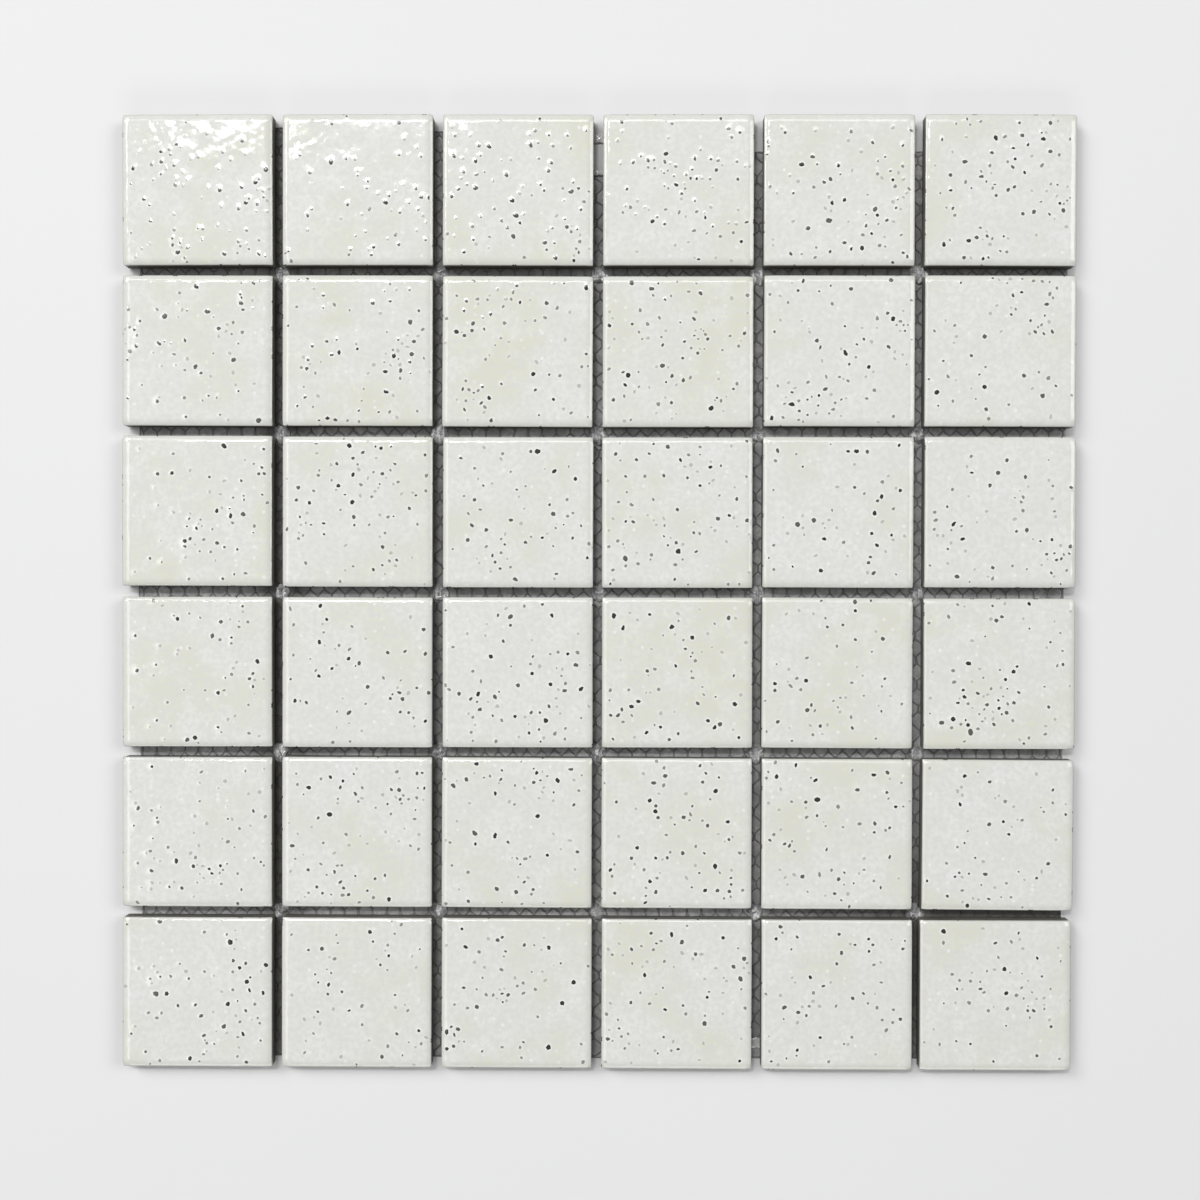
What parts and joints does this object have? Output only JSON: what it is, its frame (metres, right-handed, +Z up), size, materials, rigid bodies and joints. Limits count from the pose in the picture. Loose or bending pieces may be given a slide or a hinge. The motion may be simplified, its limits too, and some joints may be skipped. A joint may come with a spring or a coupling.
{
  "type": "mosaic tile sheet",
  "caption": "Square sheet of off-white glazed mosaic tiles with dark specks, held in a grid by a honeycomb net and dots of clear glue.",
  "frame": {"origin": "middle of the sheet's back, on the floor that it lies on", "axes": "+Z up out of the glazed faces, +X right along the rows and +Y up the columns, as the picture shows the sheet"},
  "size_m": [0.3028, 0.3034, 0.0064],
  "materials": {
    "speckled_glaze": "glossy off-white glaze with a slight orange peel and small raised dark specks, over a grey fired body",
    "net_thread": "fine grey honeycomb net of bonded thread",
    "clear_glue": "cloudy, half-clear glue, set in soft lumps"
  },
  "bodies": {
    "root": {"tile_r1_c1": "speckled_glaze", "tile_r1_c2": "speckled_glaze", "tile_r1_c3": "speckled_glaze", "tile_r1_c4": "speckled_glaze", "tile_r1_c5": "speckled_glaze", "tile_r1_c6": "speckled_glaze", "tile_r2_c1": "speckled_glaze", "tile_r2_c2": "speckled_glaze", "tile_r2_c3": "speckled_glaze", "tile_r2_c4": "speckled_glaze", "tile_r2_c5": "speckled_glaze", "tile_r2_c6": "speckled_glaze", "tile_r3_c1": "speckled_glaze", "tile_r3_c2": "speckled_glaze", "tile_r3_c3": "speckled_glaze", "tile_r3_c4": "speckled_glaze", "tile_r3_c5": "speckled_glaze", "tile_r3_c6": "speckled_glaze", "tile_r4_c1": "speckled_glaze", "tile_r4_c2": "speckled_glaze", "tile_r4_c3": "speckled_glaze", "tile_r4_c4": "speckled_glaze", "tile_r4_c5": "speckled_glaze", "tile_r4_c6": "speckled_glaze", "tile_r5_c1": "speckled_glaze", "tile_r5_c2": "speckled_glaze", "tile_r5_c3": "speckled_glaze", "tile_r5_c4": "speckled_glaze", "tile_r5_c5": "speckled_glaze", "tile_r5_c6": "speckled_glaze", "tile_r6_c1": "speckled_glaze", "tile_r6_c2": "speckled_glaze", "tile_r6_c3": "speckled_glaze", "tile_r6_c4": "speckled_glaze", "tile_r6_c5": "speckled_glaze", "tile_r6_c6": "speckled_glaze", "backing_net": "net_thread", "glue_dots": "clear_glue"}
  },
  "joints": []
}
